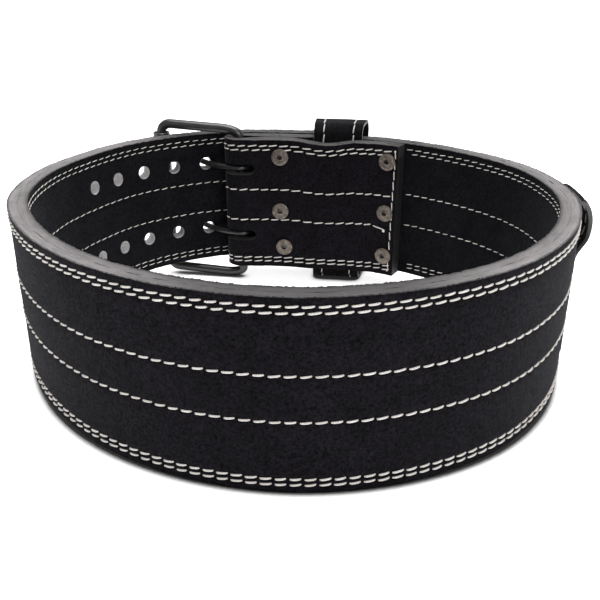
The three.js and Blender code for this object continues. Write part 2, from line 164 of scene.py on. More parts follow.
# Painted light and shade on the cut edge: by zone it is darkest at the flap's end and darker near the buckle
# and at the front, with a painted highlight of grazing reflection at both sides; painted shade darkens its
# lining side
DARKER_EDGE_TONE = 0.3
EDGE_HIGHLIGHT_TONE = 1.0
FLAP_END_EDGE_TONE = 0.1
LINING_SIDE_SHADE = 0.6
EDGE_ZONES = [
    {"length": -170, "tone": FLAP_END_EDGE_TONE},
    {"length": -150, "tone": DARKER_EDGE_TONE},
    {"length": 110, "tone": DARKER_EDGE_TONE},
    {"length": 260, "tone": EDGE_HIGHLIGHT_TONE},
    {"length": 430, "tone": EDGE_HIGHLIGHT_TONE},
    {"length": 490, "tone": DARKER_EDGE_TONE},
    {"length": 560, "tone": DARKER_EDGE_TONE},
    {"length": 640, "tone": EDGE_HIGHLIGHT_TONE},
    {"length": 900, "tone": EDGE_HIGHLIGHT_TONE},
    {"length": 950, "tone": DARKER_EDGE_TONE},
]

# Knots that end the flap's seams
KNOTS = [
    {"along": 122.0, "height": 35.2, "radius": 1.2},
    {"along": 129.4, "height": 96.2, "radius": 0.85},
    {"along": 127.2, "height": 3.9, "radius": 0.85},
]
LAST_LOOSE_STITCH = 111.5

# Finish of the leather and its seams
GRID_STEP = 2.5
ROW_STEP = 3.5
TIP_STEPS = 10
EDGE_ROUND = 0.8
SEAM_ROUND = 0.12
SEAM_SHOWN = 0.08
WAVE_DEPTH = 0.25
WAVE_LENGTH = 22.0
EDGE_ROUGHNESS = 0.22
CHANNEL_DEPTH = 0.35
CHANNEL_FLOOR = 0.5
CHANNEL_BRIM = 1.3
EDGE_ROWS = (4.3, 7.4)
MIDDLE_ROWS = (38.5, 62.2)
THREAD_DIAMETER = 1.15
LINING_THREAD = 0.5
FLAP_THREAD = 0.9
STITCH_PITCH = 7.0
STITCH_LENGTH = 5.4
LINING_STITCH_LENGTH = 4.7
STITCH_SLANT = math.radians(-6.5)
FLAP_STITCH_PITCH = 8.6
FLAP_STITCH_LENGTH = 6.8
KEEPER_STITCH_PITCH = 8.0
KEEPER_STITCH_LENGTH = 6.8
KEEPER_SEAM_INSET = 7.5
END_ROW_TOP = 2.4
END_ROW_BOTTOM = 4.6
FUZZ_COUNT = 14000
FUZZ_LENGTH = 0.95
FUZZ_WIDTH = 0.34
FUZZ_TUFT = 1.8

# Camera
CAMERA_AT = (0.0001, -0.4571, 0.2198)
CAMERA_PITCH = math.radians(22.12)
CAMERA_LENS = 46.67


def smooth(start, end, at):
    share = min(max((at - start) / (end - start), 0.0), 1.0)
    return share * share * (3 - 2 * share)


def mix(start, end, share):
    return start + (end - start) * share


def hermite(start, end, leave, arrive, share):
    square, cube = share**2, share**3
    return (
        start * (2 * cube - 3 * square + 1)
        + leave * (cube - 2 * square + share)
        + end * (3 * square - 2 * cube)
        + arrive * (cube - square)
    )


def between_knots(before, start, end, after, share):
    """Place on a curve through knots that are spaced by the square root of their distances."""
    steps = ((before, start), (start, end), (end, after))
    first, second, third = (math.sqrt((b - a).length) for a, b in steps)
    leave = (start - before) / first - (end - before) / (first + second) + (end - start) / second
    arrive = (end - start) / second - (after - start) / (second + third) + (after - end) / third
    return hermite(start, end, leave * second, arrive * second, share)


def loop_knot(row):
    angle = math.radians(row["bearing"])
    return LOOP_RADIUS * row["reach"] * Vector((math.cos(angle), math.sin(angle)))


# The loop's outer face as a closed curve, run clockwise seen from above
LOOP_KNOTS = [loop_knot(row) for row in reversed(LOOP_SHAPE)]
LOOP_SAMPLES = 1440


def loop_point(share):
    count = len(LOOP_KNOTS)
    span = int(share * count)
    before, start, end, after = (LOOP_KNOTS[(span + k) % count] for k in (-1, 0, 1, 2))
    return between_knots(before, start, end, after, share * count - span)


def running_lengths(points):
    lengths = [0.0]
    for before, after in zip(points, points[1:]):
        lengths.append(lengths[-1] + (after - before).length)
    return lengths


LOOP_RUN = running_lengths([loop_point(i / LOOP_SAMPLES) for i in range(LOOP_SAMPLES + 1)])
LOOP_LENGTH = LOOP_RUN[-1]


def loop_at_length(length):
    length %= LOOP_LENGTH
    span = min(bisect.bisect_right(LOOP_RUN, length), LOOP_SAMPLES) - 1
    share = (length - LOOP_RUN[span]) / (LOOP_RUN[span + 1] - LOOP_RUN[span])
    return loop_point((span + share) / LOOP_SAMPLES % 1)


def find_length(test):
    """Length along the loop of the first place that a test of two neighbouring points picks."""
    track = [loop_at_length(LOOP_LENGTH * i / LOOP_SAMPLES) for i in range(LOOP_SAMPLES)]
    for i in range(1, LOOP_SAMPLES):
        if test(track[i - 1], track[i]):
            return LOOP_LENGTH * i / LOOP_SAMPLES
    return 0.0


HEEL_START = find_length(lambda a, b: b.y > 0 and a.x < HEEL_BAR_X <= b.x)


def loop_at(along):
    """Point on the loop's outer face so far from the heel bar, and the outward direction there."""
    reach = 0.1
    length = along + HEEL_START
    tangent = (loop_at_length(length + reach) - loop_at_length(length - reach)).normalized()
    return loop_at_length(length), Vector((-tangent.y, tangent.x))


def place_at(along, out, height=0.0):
    point, outward = loop_at(along)
    flat = point + outward * out
    return Vector((flat.x, flat.y, height))


def tail_lift(along):
    return TAIL_LIFT * smooth(LOOP_LENGTH - TAIL_RUN_IN, LOOP_LENGTH, along)


def keeper_share(along):
    """1 where the back keeper passes between flap and strap, 0 away from it."""
    away = abs(along - BACK_KEEPER_ALONG) - (KEEPER_WIDTH / 2 + PIECE_GAP)
    return 1 - smooth(0, KEEPER_RAMP, away)


def thickness_at(along):
    skived = mix(FOLD_THICKNESS, STRAP_THICKNESS, smooth(0, FOLD_TAPER, along))
    return skived - KEEPER_PRESS * keeper_share(along)


# The strap as a ribbon: length runs from the flap's end round the fold and the loop to the tail's tip
RIBBON_STEP = 0.5
TIP_START = LOOP_LENGTH + TAIL_REACH - TAIL_TIP_RADIUS
RIBBON_END = LOOP_LENGTH + TAIL_REACH


def ribbon_station(length):
    """Point on the finish face, direction to the lining face, and thickness."""
    if length < -FOLD_ARC:
        along = -(length + FOLD_ARC)
        point, outward = loop_at(along)
        face = -FLAP_FACE - KEEPER_SWELL * keeper_share(along)
        return point + outward * face, outward, thickness_at(along)
    if length < 0:
        point, outward = loop_at(0)
        turn = -math.pi * length / FOLD_ARC
        tangent = Vector((outward.y, -outward.x))
        away = outward * math.cos(turn) - tangent * math.sin(turn)
        return point - outward * FOLD_RADIUS + away * FOLD_RADIUS, -away, FOLD_THICKNESS
    point, outward = loop_at(length)
    return point + outward * tail_lift(length), -outward, thickness_at(length)


RIBBON_COUNT = math.ceil((RIBBON_END - FLAP_END) / RIBBON_STEP) + 1
RIBBON = [ribbon_station(FLAP_END + i * RIBBON_STEP) for i in range(RIBBON_COUNT)]


def bend(flat):
    """From the flat strap (length, height, distance above the finish face) to the belt's frame."""
    length, height, level = flat
    place = min(max((length - FLAP_END) / RIBBON_STEP, 0.0), RIBBON_COUNT - 1.001)
    index = int(place)
    share = place - index
    before, after = RIBBON[index], RIBBON[index + 1]
    face = before[0].lerp(after[0], share)
    across = before[1].lerp(after[1], share).normalized()
    wall = mix(before[2], after[2], share)
    if level > 0:
        depth = -level
    elif level > -STRAP_THICKNESS:
        depth = -level / STRAP_THICKNESS * wall
    else:
        depth = wall - level - STRAP_THICKNESS
    if length < -FOLD_ARC:
        away = abs(-(length + FOLD_ARC) - FLAP_DIP_ALONG)
        height *= 1 - FLAP_DIP / STRAP_HEIGHT * (1 - smooth(0, FLAP_DIP_REACH, away))
    point = face + across * depth
    return Vector((point.x, point.y, height))


def belt_to_world():
    """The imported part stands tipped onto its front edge: its mount there gives the tilt and the place."""
    mount = next(m for m in frame["record"]["mounts"] if m["name"] == "resting_edge")
    down = mount["axis"]
    turn = Matrix.Rotation(math.atan2(down[1], -down[2]), 4, "X")
    anchor = Vector((0, -139.5, 0)) * MM
    return Matrix.Translation(Vector(mount["pos_m"]) - turn @ anchor) @ turn @ Matrix.Scale(MM, 4)


TO_WORLD = belt_to_world()


# Material helpers


def new_material(name):
    material = bpy.data.materials.new(name)
    material.use_nodes = True
    material.node_tree.nodes.clear()
    return material


def add_node(material, kind, inputs=None, **settings):
    """A node with its inputs set to numbers or linked to other nodes' sockets."""
    node = material.node_tree.nodes.new(kind)
    for name, value in settings.items():
        setattr(node, name, value)
    for name, value in (inputs or {}).items():
        if isinstance(value, bpy.types.NodeSocket):
            material.node_tree.links.new(value, node.inputs[name])
        else:
            node.inputs[name].default_value = value
    return node


def ramp(material, source, stops):
    """Colour ramp: stops are pairs of place and colour."""
    node = add_node(material, "ShaderNodeValToRGB", {"Fac": source})
    elements = node.color_ramp.elements
    while len(elements) < len(stops):
        elements.new(0.5)
    for element, (place, colour) in zip(elements, stops):
        element.position = place
        element.color = (*colour, 1)
    return node.outputs["Color"]


def speckle(material, vector, scale, detail=3.0, roughness=0.6, distortion=0.0):
    inputs = {"Vector": vector, "Scale": scale, "Detail": detail}
    inputs.update({"Roughness": roughness, "Distortion": distortion})
    return add_node(material, "ShaderNodeTexNoise", inputs).outputs["Fac"]


def maths(material, operation, *values):
    return add_node(material, "ShaderNodeMath", dict(enumerate(values)), operation=operation).outputs[0]


def attribute(material, name, output="Vector"):
    return add_node(material, "ShaderNodeAttribute", attribute_name=name).outputs[output]


def grey(value):
    return value, value, value


def multiply(material, first, second, factor=1.0):
    node = add_node(material, "ShaderNodeMix", data_type="RGBA", blend_type="MULTIPLY")
    node.inputs[0].default_value = factor
    material.node_tree.links.new(first, node.inputs[6])
    material.node_tree.links.new(second, node.inputs[7])
    return node.outputs[2]


def bump(material, height, strength, distance, normal=None):
    inputs = {"Height": height, "Strength": strength, "Distance": distance}
    if normal:
        inputs["Normal"] = normal
    return add_node(material, "ShaderNodeBump", inputs).outputs["Normal"]


def surface(material, inputs):
    shader = add_node(material, "ShaderNodeBsdfPrincipled", inputs)
    add_node(material, "ShaderNodeOutputMaterial", {"Surface": shader.outputs["BSDF"]})
    return material


def object_place(material):
    return add_node(material, "ShaderNodeTexCoord").outputs["Object"]


def flat_place(material, scale):
    """Place on the flat leather, in millimetres, stretched by scale."""
    flat = attribute(material, "flat")
    return add_node(material, "ShaderNodeMapping", {"Vector": flat, "Scale": scale}).outputs["Vector"]


def suede_material(name, dark, light, sheen):
    """Brushed nap: fine fibres, soft patches where it lies another way, and a glow at grazing angles."""
    material = new_material(name)
    place = object_place(material)
    nap = speckle(material, place, 620, 6, 0.85)
    patches = speckle(material, place, 60, 4, 0.6, 0.4)
    base = ramp(material, nap, [(0.39, dark), (0.63, light)])
    shade = ramp(material, patches, [(0.3, grey(0.55)), (0.7, grey(1))])
    fibres = bump(material, speckle(material, place, 2400, 3, 0.7), 0.55, 0.0005)
    normal = bump(material, nap, 0.4, 0.0006, fibres)
    glow = {"Value": nap, "From Min": 0.36, "From Max": 0.66, "To Max": 2.2 * sheen}
    return surface(
        material,
        {
            "Base Color": multiply(material, base, shade),
            "Roughness": 0.95,
            "Specular IOR Level": 0.05,
            "Sheen Weight": add_node(material, "ShaderNodeMapRange", glow).outputs[0],
            "Sheen Roughness": 0.36,
            "Sheen Tint": (0.82, 0.84, 0.92, 1),
            "Normal": normal,
        },
    )


# How far fraying shifts the border of the nap up or down
FRAY_REACH = 1.2


def nap_over_edge(material):
    """Dark along both rims of the strap's cut edge, where the nap of either face hangs over it."""
    flat = attribute(material, "flat")
    level = add_node(material, "ShaderNodeSeparateXYZ", {"Vector": flat}).outputs["Z"]
    frayed = speckle(material, flat_place(material, (0.5, 0.5, 0.2)), 1.0, 4, 0.7)
    shift = maths(material, "MULTIPLY_ADD", frayed, 2 * FRAY_REACH, level)
    inputs = {"Value": shift, "From Min": FRAY_REACH - STRAP_THICKNESS, "From Max": FRAY_REACH}
    share = add_node(material, "ShaderNodeMapRange", inputs).outputs[0]
    rim, soft, plain = grey(0.3), grey(0.55), grey(1)
    return ramp(material, share, [(0.0, rim), (0.1, soft), (0.19, plain), (0.87, plain), (0.93, rim)])


def edge_material(name, dark, light, layered):
    """Cut and burnished edge: fibres and fine lines run along the strap."""
    material = new_material(name)
    lines = speckle(material, flat_place(material, (0.05, 0.4, 1.3)), 1.0, 4, 0.65)
    fine = speckle(material, flat_place(material, (0.25, 2.5, 3.4)), 1.0, 3, 0.6)
    blotch = speckle(material, flat_place(material, (0.06, 0.2, 0.2)), 1.0, 3, 0.6)
    base = ramp(material, lines, [(0.32, dark), (0.5, light), (0.75, light)])
    grain = ramp(material, fine, [(0.3, (0.62, 0.6, 0.6)), (0.62, (1, 1, 1))])
    cloud = ramp(material, blotch, [(0.3, grey(0.7)), (0.6, grey(1))])
    # The tone attribute carries painted light and shade: it scales the edge's colour and its sheen by place.
    tone = attribute(material, "tone", "Color")
    colour = multiply(material, multiply(material, multiply(material, base, grain), cloud), tone)
    if layered:
        colour = multiply(material, colour, nap_over_edge(material))
    normal = bump(material, lines, 0.5, 0.0005, bump(material, fine, 0.5, 0.0003))
    return surface(
        material,
        {
            "Base Color": colour,
            "Roughness": 0.62,
            "Specular IOR Level": 0.3,
            "Sheen Weight": 0.35,
            "Sheen Roughness": 0.35,
            "Sheen Tint": tone,
            "Normal": normal,
        },
    )


def bore_material():
    """Raw leather inside the punched holes."""
    material = new_material("raw_leather")
    fibres = speckle(material, object_place(material), 900, 4, 0.7)
    base = ramp(material, fibres, [(0.3, (0.3, 0.29, 0.29)), (0.65, (0.54, 0.53, 0.53))])
    normal = bump(material, fibres, 0.4, 0.0003)
    inputs = {"Base Color": base, "Roughness": 0.85, "Specular IOR Level": 0.2, "Normal": normal}
    return surface(material, inputs)


def thread_material(name, dark, light):
    """Waxed two-strand thread: the strands wind round each stitch."""
    material = new_material(name)
    along = attribute(material, "thread")
    parts = add_node(material, "ShaderNodeSeparateXYZ", {"Vector": along})
    turn = maths(material, "MULTIPLY", parts.outputs["X"], 5.2)
    wind = maths(material, "MULTIPLY", parts.outputs["Y"], 4 * math.pi)
    strand = maths(material, "SINE", maths(material, "ADD", turn, wind))
    level = add_node(material, "ShaderNodeMapRange", {"Value": strand, "From Min": -1.0})
    place = object_place(material)
    fuzz = speckle(material, place, 1500, 3, 0.6)
    tone = speckle(material, place, 90, 2, 0.5)
    base = ramp(material, level.outputs[0], [(0.0, dark), (0.35, light)])
    wear = ramp(material, tone, [(0.3, (0.86, 0.85, 0.82)), (0.65, (1, 1, 1))])
    normal = bump(material, level.outputs[0], 0.5, 0.0003, bump(material, fuzz, 0.3, 0.0002))
    return surface(
        material,
        {
            "Base Color": multiply(material, base, wear),
            "Roughness": 0.55,
            "Specular IOR Level": 0.35,
            "Sheen Weight": 0.2,
            "Normal": normal,
        },
    )


def black_wire_material():
    """Satin black coating on bent wire, a little uneven, with rubbed spots."""
    material = new_material("black_wire")
    place = object_place(material)
    orange = speckle(material, place, 700, 2, 0.5)
    rub = speckle(material, place, 120, 4, 0.65)
    base = ramp(material, rub, [(0.35, (0.007, 0.007, 0.007)), (0.75, (0.02, 0.019, 0.019))])
    gloss = add_node(material, "ShaderNodeMapRange", {"Value": rub, "To Min": 0.24, "To Max": 0.42})
    return surface(
        material,
        {
            "Base Color": base,
            "Metallic": 0.25,
            "Roughness": gloss.outputs[0],
            "Specular IOR Level": 0.6,
            "Coat Weight": 0.15,
            "Coat Roughness": 0.3,
            "Normal": bump(material, orange, 0.15, 0.0002),
        },
    )


def brass_material():
    """Antique brass: tumbled, scratched and dark in its low places."""
    material = new_material("old_brass")
    place = object_place(material)
    stain = speckle(material, place, 420, 5, 0.7)
    scratch = speckle(material, place, 1800, 3, 0.6, 1.5)
    stops = [(0.3, (0.035, 0.028, 0.023)), (0.55, (0.12, 0.1, 0.083)), (0.8, (0.34, 0.29, 0.25))]
    base = ramp(material, stain, stops)
    rough = add_node(material, "ShaderNodeMapRange", {"Value": stain, "To Min": 0.62, "To Max": 0.4})
    return surface(
        material,
        {
            "Base Color": base,
            "Metallic": 0.65,
            "Roughness": rough.outputs[0],
            "Normal": bump(material, scratch, 0.35, 0.0002),
        },
    )


SUEDE = suede_material("suede_face", (0.0003, 0.0003, 0.0003), (0.0118, 0.0102, 0.0138), 0.045)
LINING = suede_material("suede_lining", (0.001, 0.001, 0.0013), (0.0105, 0.011, 0.0138), 0.03)
KEEPER_SUEDE = suede_material("keeper_suede", (0.0012, 0.0012, 0.0014), (0.011, 0.0105, 0.012), 0.06)
CUT_EDGE = edge_material("cut_edge", (0.105, 0.097, 0.099), (0.235, 0.22, 0.222), True)
# The side keeper's edge: a lighter finish that carries a painted highlight along it.
HIGHLIT_KEEPER_EDGE = edge_material("highlit_keeper_edge", (0.03, 0.029, 0.03), (0.12, 0.115, 0.118), False)
DARK_EDGE = edge_material("dyed_edge", (0.0035, 0.0033, 0.0035), (0.010, 0.0095, 0.010), False)
BORE = bore_material()
THREAD = thread_material("thread", (0.44, 0.4, 0.37), (0.65, 0.62, 0.6))
LINING_THREAD_FINISH = thread_material("lining_thread", (0.62, 0.58, 0.52), (0.85, 0.83, 0.78))
BLACK_WIRE = black_wire_material()
BRASS = brass_material()


# Shape helpers


def finish_piece(bm, name, materials, replaced, sharp=38.0):
    """Puts a shape made in the belt's frame into the world, as a piece that rides with the belt."""
    bmesh.ops.transform(bm, matrix=TO_WORLD, verts=bm.verts)
    mesh = bpy.data.meshes.new(name)
    bm.to_mesh(mesh)
    bm.free()
    for material in materials:
        mesh.materials.append(material)
    mesh.polygons.foreach_set("use_smooth", [True] * len(mesh.polygons))
    mesh.set_sharp_from_angle(angle=math.radians(sharp))
    piece = bpy.data.objects.new(name, mesh)
    bpy.context.scene.collection.objects.link(piece)
    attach(piece, "root")
    if replaced:
        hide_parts(*replaced)
    return piece


def edge_tone(place):
    """Tone of painted light and shade on the cut edge at a place on the flat leather; painted shade darkens
    it towards the lining.
    """
    i = 1
    while i < len(EDGE_ZONES) - 1 and EDGE_ZONES[i]["length"] < place.x:
        i += 1
    before, after = EDGE_ZONES[i - 1], EDGE_ZONES[i]
    tone = mix(before["tone"], after["tone"], smooth(before["length"], after["length"], place.x))
    return tone * mix(1.0, LINING_SIDE_SHADE, -place.z / STRAP_THICKNESS)


def keep_flat_places(bm, tone_at):
    """Stores each vertex's place on the flat leather and its edge's tone of painted light and shade, for
    materials that follow them.
    """
    layer = bm.verts.layers.float_vector.new("flat")
    shade = bm.verts.layers.float_vector.new("tone")
    for vert in bm.verts:
        vert[layer] = vert.co
        vert[shade] = Vector((1, 1, 1)) * tone_at(vert.co)


def flat_grid(columns, rows, spot):
    """Grid with lines at the given lengths and heights; spot says where each crossing goes."""
    bm = bmesh.new()
    bmesh.ops.create_grid(bm, x_segments=len(columns) - 1, y_segments=len(rows) - 1, size=0.5)
    across = {value: i for i, value in enumerate(sorted({round(v.co.x, 5) for v in bm.verts}))}
    up = {value: i for i, value in enumerate(sorted({round(v.co.y, 5) for v in bm.verts}))}
    for vert in bm.verts:
        vert.co = spot(columns[across[round(vert.co.x, 5)]], rows[up[round(vert.co.y, 5)]])
    return bm


def leather_sheet(level):
    """The strap's outline with its rounded tip, as a flat grid at one level."""
    def spot(length, height):
        past = max(0.0, length - TIP_START)
        trim = TAIL_TIP_RADIUS - math.sqrt(max(0.0, TAIL_TIP_RADIUS**2 - past**2))
        return length, mix(trim, STRAP_HEIGHT - trim, height / STRAP_HEIGHT), level

    return flat_grid(strap_columns(), strap_rows(), spot)


def open_hole(bm, start, end, height, radius, margin):
    """Clears a round-ended opening whose middle line runs from start to end at one height."""
    def near(point, reach):
        along = start - radius - reach < point.x < end + radius + reach
        return along and abs(point.y - height) < radius + reach

    block = [face for face in bm.faces if near(face.calc_center_median(), margin)]
    bmesh.ops.delete(bm, geom=block, context="FACES")
    rim = [edge for edge in bm.edges if edge.is_boundary]
    brim = [edge for edge in rim if all(near(v.co, 3 * margin) for v in edge.verts)]
    made = bmesh.ops.extrude_edge_only(bm, edges=brim)["geom"]
    for vert in (v for v in made if isinstance(v, bmesh.types.BMVert)):
        core = Vector((min(max(vert.co.x, start), end), height, vert.co.z))
        vert.co = core + (vert.co - core).normalized() * radius


def thicken(bm, low, high):
    """Gives the flat sheet its thickness, from low up to high."""
    made = bmesh.ops.extrude_face_region(bm, geom=bm.faces[:])["geom"]
    top = [v for v in made if isinstance(v, bmesh.types.BMVert)]
    bmesh.ops.translate(bm, verts=top, vec=(0, 0, high - low))
    bmesh.ops.recalc_face_normals(bm, faces=bm.faces)


def round_edges(bm, level, offset, segments):
    """Rounds the edges of the face that lies at one level."""
    sharp = [
        edge
        for edge in bm.edges
        if edge.is_manifold
        and edge.calc_face_angle(0) > math.radians(50)
        and all(abs(v.co.z - level) < 1e-4 for v in edge.verts)
    ]
    bmesh.ops.bevel(
        bm,
        geom=sharp,
        offset=offset,
        segments=segments,
        profile=0.5,
        affect="EDGES",
        material=-1,
        clamp_overlap=True,
    )


# Cuts this far from the strap's outline are openings: punched ones towards the tip, others at the flap
PUNCHED_REACH = 320
PUNCHED_INSET = 3
FLAP_CUT_REACH = 20
FLAP_CUT_INSET = 10


def split_finishes(bm):
    """Finish 0 on the slab's faces, 1 on its cut edge, 2 in punched holes, 3 in slots and rivet holes."""
    for face in bm.faces:
        middle = face.calc_center_median()
        inset = edge_distance(middle.x, middle.y)
        if abs(face.normal.z) > 0.6:
            face.material_index = 0
        elif inset > PUNCHED_INSET and middle.x > TIP_START - PUNCHED_REACH:
            face.material_index = 2
        elif inset > FLAP_CUT_INSET and middle.x < FLAP_LENGTH + FLAP_CUT_REACH:
            face.material_index = 3
        else:
            face.material_index = 1


def wire_along(path, radii, sides, closed=False):
    """Round wire: a circle drawn from station to station, with a radius at each."""
    bm = bmesh.new()
    layer = bm.verts.layers.float_vector.new("thread")
    bmesh.ops.create_circle(bm, segments=sides, radius=1.0, cap_ends=False)
    ring_edges = bm.edges[:]
    ring_verts = bm.verts[:]
    for vert in ring_verts:
        vert[layer] = (0, math.atan2(vert.co.y, vert.co.x) / (2 * math.pi), 0)
    count = len(path)
    previous = Matrix.Identity(4)
    heading = Vector((0, 0, 1))
    turn = Matrix.Identity(3)
    run = 0.0
    first_edges = ring_edges
    for i, point in enumerate(path):
        before = path[i - 1] if i or closed else point
        after = path[(i + 1) % count] if i + 1 < count or closed else point
        if closed and i == 0:
            before = path[-2]
        if closed and i == count - 1:
            after = path[1]
        direction = (after - before).normalized()
        turn = heading.rotation_difference(direction).to_matrix() @ turn
        heading = direction
        station = Matrix.Translation(point) @ turn.to_4x4() @ Matrix.Scale(radii[i], 4)
        if i:
            run += (point - path[i - 1]).length
            made = bmesh.ops.extrude_edge_only(bm, edges=ring_edges)["geom"]
            ring_edges = [e for e in made if isinstance(e, bmesh.types.BMEdge)]
            ring_verts = [v for v in made if isinstance(v, bmesh.types.BMVert)]
            ring_edges = [e for e in ring_edges if all(v in set(ring_verts) for v in e.verts)]
            for vert in ring_verts:
                vert[layer] = (run, vert[layer][1], 0)
        bmesh.ops.transform(bm, matrix=station @ previous.inverted(), verts=ring_verts)
        previous = station
    if closed:
        bmesh.ops.remove_doubles(bm, verts=bm.verts, dist=0.02)
    else:
        bmesh.ops.contextual_create(bm, geom=first_edges)
        bmesh.ops.contextual_create(bm, geom=ring_edges)
    bmesh.ops.recalc_face_normals(bm, faces=bm.faces)
    return bm


def turned(profile, sides, place):
    """Turned piece: a closed profile of radius and height, spun about the upright axis, then placed."""
    bm = bmesh.new()
    verts = [bm.verts.new((radius, 0, height)) for radius, height in profile]
    edges = [bm.edges.new(pair) for pair in zip(verts, verts[1:] + verts[:1])]
    if min(radius for radius, _ in profile) == 0:
        edges = [e for e in edges if any(v.co.x > 0 for v in e.verts)]
    bmesh.ops.spin(
        bm,
        geom=verts + edges,
        axis=(0, 0, 1),
        cent=(0, 0, 0),
        angle=2 * math.pi,
        steps=sides,
        use_merge=True,
    )
    bmesh.ops.remove_doubles(bm, verts=bm.verts, dist=1e-3)
    loose = [e for e in bm.edges if not e.link_faces]
    bmesh.ops.delete(bm, geom=loose, context="EDGES")
    bmesh.ops.recalc_face_normals(bm, faces=bm.faces)
    bmesh.ops.transform(bm, matrix=place, verts=bm.verts)
    return bm


# Strap


def spaced(start, end, step):
    count = max(1, round((end - start) / step))
    return [mix(start, end, i / count) for i in range(count + 1)]


def strap_columns():
    turns = [math.pi / 2 * i / TIP_STEPS for i in range(1, TIP_STEPS + 1)]
    tip = [TIP_START + TAIL_TIP_RADIUS * math.sin(turn) for turn in turns]
    return spaced(FLAP_END, TIP_START, GRID_STEP) + tip


def seam_heights():
    return sorted([*EDGE_ROWS, *MIDDLE_ROWS, *(STRAP_HEIGHT - inset for inset in EDGE_ROWS)])


def strap_rows():
    """Heights of the grid's lines: close beside each seam, even between them."""
    kept = [0.0]
    for seam in seam_heights():
        kept += [seam - CHANNEL_BRIM, seam - CHANNEL_FLOOR, seam + CHANNEL_FLOOR, seam + CHANNEL_BRIM]
    kept.append(STRAP_HEIGHT)
    rows = []
    for start, end in zip(kept, kept[1:]):
        rows += spaced(start, end, ROW_STEP)[:-1]
    return rows + [STRAP_HEIGHT]


def edge_distance(length, height):
    """How far a place on the flat strap is from the strap's outline."""
    past = length - TIP_START
    side = min(height, STRAP_HEIGHT - height)
    if past > 0 and side < TAIL_TIP_RADIUS:
        return TAIL_TIP_RADIUS - math.hypot(past, TAIL_TIP_RADIUS - side)
    return min(side, RIBBON_END - length)


def channel_depth(length, height):
    """How deep a seam has drawn the suede in."""
    inset = edge_distance(length, height)
    away = min(abs(inset - row) for row in EDGE_ROWS)
    if inset > EDGE_ROWS[1] + CHANNEL_BRIM:
        away = min(away, *(abs(height - row) for row in MIDDLE_ROWS))
    return CHANNEL_DEPTH * (1 - smooth(CHANNEL_FLOOR, CHANNEL_BRIM, away))


def strap_openings():
    """Every opening as start, end, height, radius and margin on the flat strap."""
    found = []
    for i in range(-HOLES_BEFORE_PRONG, HOLES_PAST_PRONG + 1):
        at = LOOP_LENGTH - PRONG_HOLE_OFFSET + i * HOLE_PITCH
        found += [(at, at, height, HOLE_DIAMETER / 2, 1.8) for height in (UPPER_ROW, LOWER_ROW)]
    near = SLOT_REACH - SLOT_HEIGHT / 2
    found += [(-near - FOLD_ARC, near, height, SLOT_HEIGHT / 2, 1.8) for height in (UPPER_ROW, LOWER_ROW)]
    shank = RIVET_SHANK_DIAMETER / 2 + PIECE_GAP
    for row in RIVETS:
        height = row["height"] * STRAP_HEIGHT
        for at in (row["along"], -(row["along"] + FOLD_ARC)):
            found.append((at, at, height, shank, 1.3))
    return found


def strap_ply(name, low, high, shown, suede, seed):
    """One ply of the strap between two levels; shown is the level of its suede face."""
    bm = leather_sheet(low)
    for opening in strap_openings():
        open_hole(bm, *opening)
    thicken(bm, low, high)
    glued = low + high - shown
    round_edges(bm, shown, EDGE_ROUND, 2)
    round_edges(bm, glued, SEAM_ROUND, 1)
    bm.normal_update()
    split_finishes(bm)
    keep_flat_places(bm, edge_tone)
    sign = 1 if shown == high else -1
    for vert in bm.verts:
        length, height, level = vert.co
        if abs(level - shown) < 1e-3:
            wave = noise.noise(Vector((length, height, seed)) / WAVE_LENGTH) * WAVE_DEPTH
            vert.co.z += sign * (wave - WAVE_DEPTH - channel_depth(length, height))
        if edge_distance(length, height) < 2 * EDGE_ROUND and length < TIP_START:
            rough = noise.noise(Vector((length / 2.2, level / 1.5, seed)))
            rough += 1.3 * noise.noise(Vector((length / 11, level / 6, seed + 5)))
            vert.co.y += EDGE_ROUGHNESS * rough
    for vert in bm.verts:
        vert.co = bend(vert.co)
    return finish_piece(bm, name, [suede, CUT_EDGE, BORE, DARK_EDGE], [name])


strap_middle = STRAP_THICKNESS / 2
upper_glue = -strap_middle + SEAM_SHOWN / 2
lower_glue = -strap_middle - SEAM_SHOWN / 2
strap_ply("strap_outer_ply", upper_glue, 0.0, 0.0, SUEDE, 3.0)
strap_ply("strap_inner_ply", -STRAP_THICKNESS, lower_glue, -STRAP_THICKNESS, LINING, 9.0)


# Stitching


def stitch_shape(length, diameter, sides=6):
    """One visible stitch along x: round, and drawn into the leather at both ends."""
    radius = diameter / 2
    stations = [
        {"along": -0.5, "level": -0.9, "girth": 0.5},
        {"along": -0.44, "level": 0.0, "girth": 0.85},
        {"along": -0.25, "level": 0.5, "girth": 1.0},
        {"along": 0.0, "level": 0.6, "girth": 1.0},
        {"along": 0.25, "level": 0.5, "girth": 1.0},
        {"along": 0.44, "level": 0.0, "girth": 0.85},
        {"along": 0.5, "level": -0.9, "girth": 0.5},
    ]
    path = [Vector((row["along"] * length, 0, row["level"] * radius)) for row in stations]
    return wire_along(path, [row["girth"] * radius for row in stations], sides)


def walk(path, pitch_at):
    """Middle and direction of each stitch along a flat path."""
    lengths = running_lengths(path)
    at = pitch_at(path[0]) / 2
    while at < lengths[-1]:
        i = min(bisect.bisect_right(lengths, at), len(path) - 1)
        share = (at - lengths[i - 1]) / (lengths[i] - lengths[i - 1])
        middle = path[i - 1].lerp(path[i], share)
        yield middle, (path[i] - path[i - 1]).normalized()
        at += pitch_at(middle)


